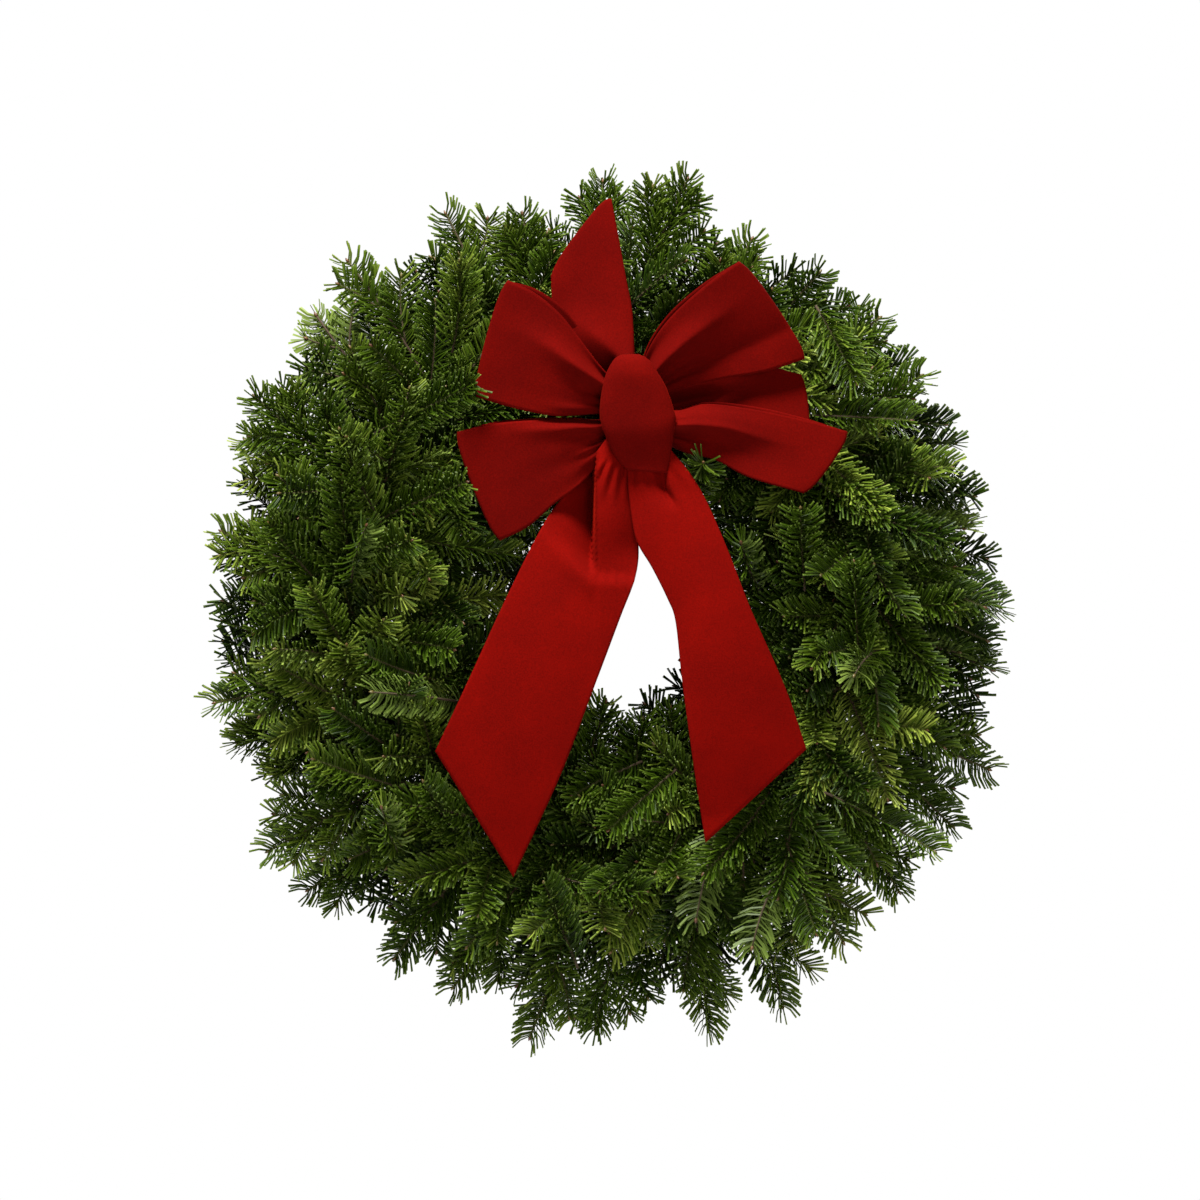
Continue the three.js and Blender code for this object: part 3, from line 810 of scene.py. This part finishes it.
def ring_mesh(material):
    """The welded ring with its clamps bent round the stems, their edges rounded."""
    turn = np.linspace(0, 2 * math.pi, RING_STEPS, endpoint=False)[:, None]
    wire = np.linspace(0, 2 * math.pi, RING_SIDES, endpoint=False)[None]
    radius = RING_RADIUS + WIRE_RADIUS * np.cos(wire)
    behind = WIRE_RADIUS * np.sin(wire) + 0 * turn
    ring = np.stack([radius * np.cos(turn), behind, radius * np.sin(turn)], axis=-1)
    points = [ring.reshape(-1, 3)]
    a, b = np.meshgrid(np.arange(RING_STEPS), np.arange(RING_SIDES), indexing="ij")
    after, beside = (a + 1) % RING_STEPS, (b + 1) % RING_SIDES
    faces = [np.stack([a * RING_SIDES + b, a * RING_SIDES + beside, after * RING_SIDES + beside,
                       after * RING_SIDES + b], axis=-1).reshape(-1, 4)]
    offset = RING_STEPS * RING_SIDES
    bow = np.linspace(-math.pi / 2 + CLAMP_GAP, 1.5 * math.pi - CLAMP_GAP, CLAMP_STEPS)
    section = np.array([(0, -1), (1, -1), (1, 1), (0, 1)]) * [CLAMP_THICK, CLAMP_WIDE / 2]
    k, m = np.meshgrid(np.arange(CLAMP_STEPS - 1), np.arange(4), indexing="ij")
    strap = np.stack([k * 4 + m, k * 4 + (m + 1) % 4, (k + 1) * 4 + (m + 1) % 4, (k + 1) * 4 + m],
                     axis=-1).reshape(-1, 4)
    ends = np.array([(3, 2, 1, 0), tuple(4 * (CLAMP_STEPS - 1) + n for n in range(4))])
    for i in range(BUNDLES):
        out = at(clamp_angle(i), 1, 0)
        aside = np.cross(out, -FRONT)
        middle = at(clamp_angle(i), RING_RADIUS, CLAMP_DEPTH)
        away = CLAMP_INNER + section[None, :, 0]
        flat = away[..., None] * (np.cos(bow)[:, None, None] * out - np.sin(bow)[:, None, None] * FRONT)
        points.append((middle + flat + section[None, :, 1, None] * aside).reshape(-1, 3))
        faces += [strap + offset, ends + offset]
        offset += 4 * CLAMP_STEPS
    piece = add_mesh("wreath_ring", world(np.concatenate(points)), np.concatenate(faces), material,
                     smooth=True)
    rounded = piece.modifiers.new("rounded_edges", "BEVEL")
    rounded.width = CLAMP_EDGE * MM
    rounded.segments = 2
    rounded.angle_limit = math.radians(60)
    return piece


# ---------------------------------------------------------------- bow
CLOTH = 0.9  # flocked ribbon, pile and all
FOLD_RADIUS = 1.6
BOW_SCALE = 0.985  # the bow's outlines are drawn a little large
GATHER = 6.5  # depth of the gathers where the ribbon is pinched at the knot
CREST = 0.022  # how round a pleat's crest is, as a share of the ribbon's width


def smooth_line(points, t):
    """A smooth line through the points, evenly spaced along it, at shares t of its length."""
    p = np.asarray(points, float)
    p = np.vstack([2 * p[0] - p[1], p, 2 * p[-1] - p[-2]])
    fine = []
    for a, b, c, d in zip(p, p[1:], p[2:], p[3:]):
        u = np.linspace(0, 1, 24, endpoint=False)[:, None]
        fine.append(0.5 * (2 * b + (c - a) * u + (2 * a - 5 * b + 4 * c - d) * u**2
                           + (3 * b - a - 3 * c + d) * u**3))
    fine = np.vstack(fine + [p[-2:-1]])
    run = np.r_[0, np.cumsum(np.linalg.norm(np.diff(fine, axis=0), axis=1))]
    return np.stack([np.interp(t, run / run[-1], fine[:, k]) for k in range(fine.shape[1])], axis=-1)


def pleated(s, t, pleats):
    """Depth added by pleats that run out from the knot. Each has its place across the ribbon at
    the knot and at its end, its reach, its width on the low and the high side, and its height."""
    depth = np.zeros(np.broadcast(s, t).shape)
    for start, end, reach, below, above, height in pleats:
        off = t - lerp(start, end, np.clip(s / reach, 0, 1))
        width = np.where(off < 0, below, above) * (0.55 + 0.9 * s / reach)
        crest = np.exp((CREST - np.sqrt(off**2 + CREST**2)) / width)
        depth += height * ease(1.2 * (1 - s / reach)) * lerp(0.4, 1, ease(s / 0.16)) * crest
    return depth


ACROSS_STEPS, LOOP_STEPS, BEND_STEPS = 35, 32, 5


def loop_rows(loop):
    """Rows of points across a loop: its front from knot to fold, round the fold, and its back."""
    s = np.linspace(0, 1, LOOP_STEPS)[:, None, None]
    t = np.linspace(0, 1, ACROSS_STEPS)[None, :, None]
    low = smooth_line(loop["low"], s[:, 0, 0])[:, None, :]
    high = smooth_line(loop["high"], s[:, 0, 0])[:, None, :]
    flat = lerp(low, high, t)
    out = unit(flat[-1] - flat[-3])[None]
    # The fold bows out a little, and its corners are worn round.
    round_end = 2.0 * (1 - (2 * t - 1) ** 2) - loop.get("corner", 2.5) * np.abs(2 * t - 1) ** 7
    flat = flat + out * round_end * ease((s - 0.8) / 0.2)
    s, t = s[..., 0], t[..., 0]
    middle = lerp(loop["knot_depth"], loop["end_depth"], ease(s))
    puff = FOLD_RADIUS + loop["puff"] * np.sin(math.pi * np.clip(s, 0, 1) ** 0.8)
    pinch = np.exp(-s / 0.17)
    gather = 2 * math.pi * loop["ripples"] * t
    tilt = loop["tilt"] * (t - 0.5) * ease(s)
    front = middle + puff + tilt + pleated(s, t, loop["pleats"])
    front += GATHER * np.cos(gather + 2 * math.pi * loop["phase"]) * pinch
    # The back has the same pleats, mirrored and lower.
    back = (middle - puff + tilt + GATHER * np.cos(gather) * pinch
            - pleated(s, 1 - t, loop["pleats"]) * 0.6)
    back = np.minimum(back, front - 2 * FOLD_RADIUS)
    # The back leans a little past the front's edge, as a puffed loop's does.
    lean = loop["lean"] * np.sin(math.pi * s) * ease(t)
    normal = unit(high[-1] - low[-1])[None]
    behind = flat + lean[..., None] * normal
    turn = np.linspace(0, math.pi, BEND_STEPS + 2)[1:-1, None, None]
    bend_flat = flat[-1:] + out * FOLD_RADIUS * np.sin(turn)
    bend_depth = (front[-1:] + back[-1:]) / 2 + (front[-1:] - back[-1:]) / 2 * np.cos(turn[..., 0])
    return np.concatenate([
        np.concatenate([flat, front[..., None]], axis=-1),
        np.concatenate([bend_flat, bend_depth[..., None]], axis=-1),
        np.concatenate([behind, back[..., None]], axis=-1)[::-1],
    ])


def cloth_mesh(name, rows, material):
    """A sheet through rows of points (x, z, depth), thickened to the cloth."""
    count, wide = rows.shape[:2]
    points = np.stack([rows[..., 0], -rows[..., 2], rows[..., 1]], axis=-1).reshape(-1, 3)
    a = (np.arange(count - 1)[:, None] * wide + np.arange(wide - 1)[None]).ravel()
    faces = np.stack([a, a + 1, a + wide + 1, a + wide], axis=-1)
    piece = add_mesh(name, world(points * [BOW_SCALE, 1, BOW_SCALE]), faces, material, smooth=True)
    thicken = piece.modifiers.new("cloth", "SOLIDIFY")
    thicken.thickness = CLOTH * MM
    thicken.offset = 0
    return piece


# The loops: outlines of their low and high edges from knot to fold, and their pleats, each as
# pleated takes it.
LOOPS = {
    "bow_loops_front": [
        dict(low=[(18, 132), (-3.6, 135.6), (-24.2, 134.5), (-40.3, 134.5), (-67.7, 140.2),
                  (-94, 148.2)],
             high=[(18, 148), (-1.3, 166.5), (-19.7, 190.5), (-33.4, 207.7), (-51.7, 222.6),
                   (-71.1, 231.7)],
             knot_depth=106, end_depth=118, puff=5, ripples=3, phase=0.1, lean=6, tilt=13,
             pleats=[(0.74, 0.6, 1.0, 0.3, 0.12, 22), (1.0, 1.0, 0.62, 0.06, 0.06, 6),
                     (0.14, 0.09, 0.7, 0.07, 0.09, 8), (0.45, 0.36, 0.5, 0.06, 0.06, -4)]),
        dict(low=[(25, 126), (49, 111.6), (63, 106), (78.7, 102.7), (103.9, 89.7), (142.8, 78.4)],
             high=[(25, 142), (51.3, 137.9), (71.9, 142.5), (103.9, 139), (138.2, 132.2),
                   (174.4, 123)],
             knot_depth=106, end_depth=110, puff=5, ripples=3, phase=0.6, lean=3, tilt=-8,
             pleats=[(0.55, 0.62, 0.9, 0.14, 0.4, 21), (0.2, 0.2, 0.5, 0.08, 0.08, 4)]),
    ],
    "bow_loops_middle": [
        dict(low=[(18, 120), (-1.3, 104.7), (-19.7, 84.1), (-38, 70.4), (-56.3, 54.4), (-76.9, 44.1)],
             high=[(18, 138), (-3.6, 131), (-24.2, 131.7), (-49.4, 131), (-79.2, 128.8),
                   (-107.8, 122.6)],
             knot_depth=101, end_depth=109, puff=5, ripples=3, phase=0.35, lean=2, tilt=6,
             pleats=[(0.8, 0.92, 0.85, 0.35, 0.06, 15), (0.52, 0.46, 0.34, 0.1, 0.1, -11),
                     (0.34, 0.42, 0.48, 0.05, 0.06, 13), (0.14, 0.22, 0.42, 0.05, 0.05, 12)]),
        dict(low=[(24, 138), (49, 152.8), (81, 160.8), (115.3, 166.5), (144, 175.7)],
             high=[(22, 156), (30.7, 182.5), (46.7, 205.4), (71.9, 228.3), (95.9, 245.4)],
             knot_depth=97, end_depth=113, puff=6, ripples=3, phase=0.0, lean=3, tilt=20,
             pleats=[(0.5, 0.74, 0.98, 0.12, 0.3, 19), (0.32, 0.42, 0.8, 0.08, 0.12, 10),
                     (0.12, 0.14, 0.7, 0.08, 0.08, 6), (0.3, 0.3, 1.7, 0.16, 0.16, -7)]),
    ],
    "bow_loops_back": [
        dict(low=[(8, 146), (-12, 160), (-32, 184), (-38, 208), (-39.6, 238)],
             high=[(22, 150), (20.4, 178), (18.8, 210), (14.7, 232.9), (10.1, 258), (3.4, 294)],
             knot_depth=87, end_depth=98, puff=6, ripples=2, phase=0.2, lean=-3, tilt=-8, corner=4.5,
             pleats=[(0.96, 0.0, 0.78, 0.34, 0.4, 20), (0.95, 1.0, 0.4, 0.12, 0.1, 5)]),
        dict(low=[(25, 118), (56, 112), (100, 98), (146, 86)],
             high=[(25, 150), (49, 160), (80, 170), (114, 171), (141.7, 164.2)],
             knot_depth=88, end_depth=95, puff=5, ripples=2, phase=0.5, lean=0, tilt=-10,
             pleats=[(0.86, 0.84, 0.6, 0.06, 0.08, 7), (0.62, 0.72, 0.75, 0.25, 0.06, -13)]),
    ],
}

TAIL_DEPTH = 119
TAIL_LEAN = math.radians(4)
TAIL_STEP = 4  # the right tail lies this far in front of the left one
TAIL_GATHERS = 4.5  # waves across the ribbon just under the knot
TAIL_ROWS, TAIL_ACROSS = 84, 44
LEFT_TAIL = dict(  # outlines of its edges from the knot to the slanting cut
    left=[(12, 132), (2, 120), (-14, 98), (-33.4, 73.2), (-47.1, 52.6), (-72.3, 2.3), (-99.7, -57.2),
          (-123.3, -107.6)],
    right=[(24, 132), (20, 112), (17, 90), (17.5, 73.2), (23, 45), (21.5, 19.4), (10.1, -11.5),
           (-10.5, -66.4), (-33.4, -126), (-67, -199)])
RIGHT_TAIL = dict(
    left=[(20, 132), (15.5, 110), (15.5, 90), (17, 73.2), (20.4, 50.3), (24.5, 38.9), (33, 25.1),
          (44.4, 2.3), (50.1, -13.8), (54.7, -55), (62.7, -114.4), (71.8, -174)],
    right=[(34, 132), (45, 112), (60, 93), (71.9, 73.2), (87.9, 36.6), (103.9, -4.6), (129.1, -61.8),
           (144.4, -106)])


def tail_rows(tail, shape, lift, gather):
    """Rows of points across a tail, from the knot to its cut."""
    s = np.linspace(0, 1, TAIL_ROWS)
    t = np.linspace(0, 1, TAIL_ACROSS)[None, :, None]
    flat = lerp(smooth_line(tail["left"], s)[:, None], smooth_line(tail["right"], s)[:, None], t)
    x, z = flat[..., 0], flat[..., 1]
    s, t = s[:, None], t[..., 0]
    gathered = (gather * np.cos(2 * math.pi * TAIL_GATHERS * t)
                * ease((104 - z) / 8) * ease((z - 68) / 26))
    depth = TAIL_DEPTH + lift - (BOW[1] - z) * math.tan(TAIL_LEAN) + shape(x, z, t, s) + gathered
    return np.concatenate([flat, depth[..., None]], axis=-1)


def left_shape(x, z, t, s):
    """A knife pleat from the knot down to a soft ledge, where the ribbon opens flat."""
    pleat_x = -10.5
    gap = x - pleat_x
    # Left of the pleat the cloth dips in under it, down to a slanting ridge.
    over_ridge = z - 16 - 0.8 * np.maximum(-gap, 0)
    beside = np.exp(np.minimum(gap, 0) / 17) * ease(1 - gap / 4)
    dip = beside * (3.0 * np.exp(-(((over_ridge + 3) / 9) ** 2)) - 22.0 * ease(over_ridge / 15)
                    - 14.0 * ease(over_ridge / 50))
    # The flap of the pleat rolls away to its right edge, sinks in, and ends in a ledge.
    over_ledge = z - 15.5 + 0.05 * gap
    sunk = ease(over_ledge / 4.5) * ease((54 - over_ledge) / 44)
    rolled = 0.010 * np.maximum(gap - 4, 0) ** 2 * ease(over_ledge / 30)
    flap = ease(gap / 4.5) * (2.5 * np.exp(np.minimum(over_ledge, 0) / 40) - 7.0 * sunk - rolled)
    bow_out = (4.0 * np.sin(math.pi * t) * ease(1 - s * 0.6)
               + 7.0 * np.sin(math.pi * np.clip((70 - z) / 250, 0, 1)))
    curl = 3.0 * np.sin(3.2 * s + 0.6) * (t - 0.5)
    return dip + flap + bow_out + curl


def right_shape(x, z, t, s):
    """A short tuck under the knot, then a broad soft curve down to the cut."""
    tuck_x = 41.5 + 7 * ease((86 - z) / 18)
    gap = x - tuck_x
    tuck = -9.0 * ease((z - 64) / 20) * np.where(gap < 0, np.exp(gap / 7), ease(1 - gap / 4.5))
    bow_out = (5.0 * np.sin(math.pi * t) * ease(1 - s * 0.5)
               + 13.0 * np.sin(math.pi * np.clip((80 - z) / 235, 0, 1)))
    turn = 9.0 * (t - 0.5) * np.sin(math.pi * np.clip(s * 1.25, 0, 1))
    return tuck + bow_out + turn


KNOT_LEFT = [(14, 178), (7.5, 175.5), (2, 167.5), (-1.6, 157), (-4.1, 139), (-2.5, 126),
             (3.4, 111.6), (9.2, 102), (16, 95)]
KNOT_RIGHT = [(23, 178), (30, 174), (36.5, 165), (43.3, 152.8), (49.2, 135), (49.8, 131.5),
              (47.8, 118.5), (45.8, 105), (43.8, 92.6)]
KNOT_DEPTH = 132
KNOT_THICK = 8  # from its middle to its front
KNOT_LEAN = math.radians(6)
KNOT_TURN = 2.15  # how far its sides are turned under, where half of pi is square to the front
KNOT_STEPS, KNOT_ACROSS = 44, 45


def knot_rows():
    """A tab of ribbon with its long sides turned under, rolled back at the top and cut at the
    bottom."""
    s = np.linspace(0, 1, KNOT_STEPS)[:, None]
    turn = np.linspace(-KNOT_TURN, KNOT_TURN, KNOT_ACROSS)[None]
    left, right = smooth_line(KNOT_LEFT, s[:, 0]), smooth_line(KNOT_RIGHT, s[:, 0])
    middle, half = (left + right) / 2, (right - left) / 2
    wide = np.sign(np.sin(turn)) * np.abs(np.sin(turn)) ** 0.85
    thick = np.sign(np.cos(turn)) * np.abs(np.cos(turn)) ** 0.75
    flat = middle[:, None] + half[:, None] * wide[..., None]
    rolled = 11 * (1 - np.sqrt(1 - np.clip((0.13 - s) / 0.13, 0, 1) ** 2))
    ends = lerp(0.35, 1.0, ease(s / 0.25)) * lerp(1.0, 0.55, ease((s - 0.6) / 0.4))
    tucked = 6 * ease((s - 0.62) / 0.38)
    depth = KNOT_DEPTH + KNOT_THICK * thick * ends - rolled - tucked
    depth = depth + (flat[..., 1] - BOW[1]) * math.tan(KNOT_LEAN)
    return np.concatenate([flat, depth[..., None]], axis=-1)


def edge_length(points):
    steps = np.diff(smooth_line(points, np.linspace(0, 1, 30)), axis=0)
    return float(np.linalg.norm(steps, axis=1).sum())


def build_bow():
    """The loops, the tails and the knot, each one a sheet of ribbon."""
    # The loops and the knot take a darker copy of the velvet, painted shade, and the tails a lighter
    # copy, painted light.
    towards = flocked_velvet("velvet_painted_shade", "#540301", "#5e0401")
    away = flocked_velvet("velvet_painted_light", "#650401", "#700501")
    for node, (first, second) in LOOPS.items():
        rows = np.concatenate([loop_rows(first), loop_rows(second)[::-1]])
        piece = cloth_mesh(node.replace("loops", "ribbon"), rows, towards)
        # The strip runs out and back along both loops: twice the mean of each one's edges.
        run = sum(edge_length(loop[side]) for loop in (first, second) for side in ("low", "high"))
        finish_piece(piece, "velvet", node)
    # The tails are one strip, folded over under the knot.
    rows = np.concatenate([tail_rows(LEFT_TAIL, left_shape, lift=0, gather=1.8)[::-1],
                           tail_rows(RIGHT_TAIL, right_shape, lift=TAIL_STEP, gather=0.7)])
    tails = cloth_mesh("bow_tails_ribbon", rows, away)
    finish_piece(tails, "velvet", "bow_tails")
    knot = cloth_mesh("bow_knot_ribbon", knot_rows(), towards)
    finish_piece(knot, "velvet", "bow_knot")


# ---------------------------------------------------------------- build
needle_look, bark_look, bud_look = fir_needle(), fir_bark(), fir_bud()


def build_foliage(group, rows, needles, stems=(), *nodes):
    """The twigs, buds and needles of a group of shoots, as three pieces."""
    twigs = [*stems, *(twig_outline(row) for row in rows)]
    finish_piece(turned_mesh(f"fir_twigs_{group}", twigs, bark_look, TWIG_SIDES), "fir_bark")
    buds = [bud for row in rows for bud in bud_outlines(row)]
    finish_piece(turned_mesh(f"fir_buds_{group}", buds, bud_look, BUD_SIDES), "fir_bark")
    finish_piece(needle_mesh(f"fir_needles_{group}", needles, needle_look), "fir", *nodes)


def front_shoots():
    """The shoots that stand out in front."""
    rows = []
    for tip, base, tone, comb, turned in FRONT_SHOOTS:
        tip, base = spot(*tip), spot(*base)
        up = facing(unit(tip - base)) * (-1 if turned else 1)
        rows.append(shoot(base, tip, up, FRONT_THICK, FRONT_DENSITY, comb, tone, age=0.6, arch=0.05,
                          bowed=True))
    return rows


bundles = [grow_bundle(i) for i in range(BUNDLES)]
needles = [[needles_of(row) for row in rows] for rows in bundles]
tuck_in_shoots(bundles, needles)
for i, rows in enumerate(bundles):
    stems = [stem_outline(i, k) for k in range(STEMS)]
    number = f"{i + 1:02d}"
    build_foliage(number, rows, needles[i], stems, f"fir_bundle_{number}")
rows = front_shoots()
build_foliage("front", rows, [needles_of(row) for row in rows])

build_bow()
finish_piece(ring_mesh(green_enamel()), "painted_steel", "clamp_ring")
tie_wire = frame["nodes"]["bow_tie_wire"]
tie_wire.data.materials.clear()
tie_wire.data.materials.append(drawn_wire())

# ---------------------------------------------------------------- stage, light, camera
FLOOR_DROP = 1.35  # hung at the height of a door's upper panel
FLOOR_RADIUS = 5.0
bpy.ops.mesh.primitive_circle_add(
    vertices=96, radius=FLOOR_RADIUS, fill_type="NGON", location=(0, 0, CENTRE.z - FLOOR_DROP))
floor = bpy.context.object
floor.name = "floor"
floor.data.materials.append(pale_floor())

# A white room that gives only a little light of its own.
room = bpy.data.worlds.new("studio")
bpy.context.scene.world = room
room.use_nodes = True
room.node_tree.nodes.clear()
seen = put(room.node_tree, "LightPath")["Is Camera Ray"]
strength = put(room.node_tree, "MapRange", {"Value": seen, "To Min": 0.06, "To Max": 1.0})["Result"]
white = put(room.node_tree, "Background", {"Color": (1.0, 1.0, 1.0, 1.0), "Strength": strength})
put(room.node_tree, "OutputWorld", {"Surface": white["Background"]})
bpy.context.scene.view_settings.view_transform = "Standard"


def soft_light(name, place, size, power):
    """A round lamp, placed in metres from the middle of the wreath, that faces it."""
    data = bpy.data.lights.new(name, "AREA")
    data.shape, data.size, data.energy = "DISK", size, power
    lamp = bpy.data.objects.new(name, data)
    lamp.location = CENTRE + Vector(place)
    lamp.rotation_euler = Vector(place).to_track_quat("Z", "Y").to_euler()
    bpy.context.scene.collection.objects.link(lamp)


soft_light("key_light", place=(-0.5, -1.25, 2.5), size=0.8, power=215)
soft_light("fill_light", place=(0.5, -3.0, 0.2), size=1.2, power=32)
soft_light("back_light", place=(1.0, 2.4, 1.3), size=1.2, power=60)

CAMERA_AWAY = 6.0
SEEN_WIDTH = 0.8611  # width of the view at the foliage
FOLIAGE_FRONT = 0.05
VIEW_X, VIEW_Z = -0.0043, 0.0014  # the middle of the view, beside the middle of the ring
SENSOR = 36.0
camera_data = bpy.data.cameras.new("camera")
camera_data.sensor_width = SENSOR
camera_data.lens = SENSOR * CAMERA_AWAY / SEEN_WIDTH
camera = bpy.data.objects.new("camera", camera_data)
camera.location = CENTRE + Vector((VIEW_X, -CAMERA_AWAY - FOLIAGE_FRONT, VIEW_Z))
camera.rotation_euler = (math.radians(90), 0, 0)
bpy.context.scene.collection.objects.link(camera)
bpy.context.scene.camera = camera
